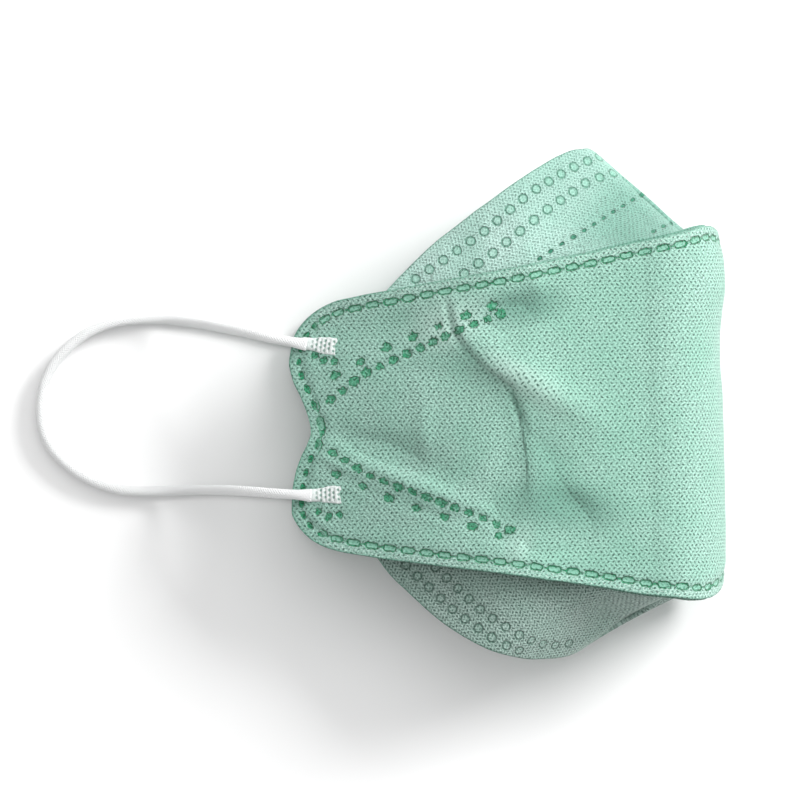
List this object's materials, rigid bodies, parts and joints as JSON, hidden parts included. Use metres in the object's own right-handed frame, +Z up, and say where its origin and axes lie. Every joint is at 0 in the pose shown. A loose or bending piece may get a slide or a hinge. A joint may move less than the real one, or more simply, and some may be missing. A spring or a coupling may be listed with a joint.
{
  "type": "fold-flat respirator mask",
  "caption": "Three-panel fold-flat respirator of green nonwoven, half folded and lying on its side, with white elastic ear loops.",
  "frame": {"origin": "middle of the cloth body's bounding box at the height of the surface it lies on, ear loops left out", "axes": "+X from the ear end towards the front fold, +Y from the chin panel towards the nose panel, +Z up from the surface it lies on"},
  "size_m": [0.1538, 0.1123, 0.0393],
  "materials": {
    "middle_cloth": "matte",
    "inner_cloth": "matte",
    "elastic": "matte"
  },
  "bodies": {
    "root": {"centre_panel": "middle_cloth", "nose_panel": "inner_cloth", "chin_panel": "inner_cloth", "near_loop_upper_end": "elastic", "near_loop_lower_end": "elastic", "far_loop_upper_end": "elastic", "far_loop_lower_end": "elastic", "near_ear_loop": "elastic", "far_ear_loop": "elastic"}
  },
  "joints": []
}
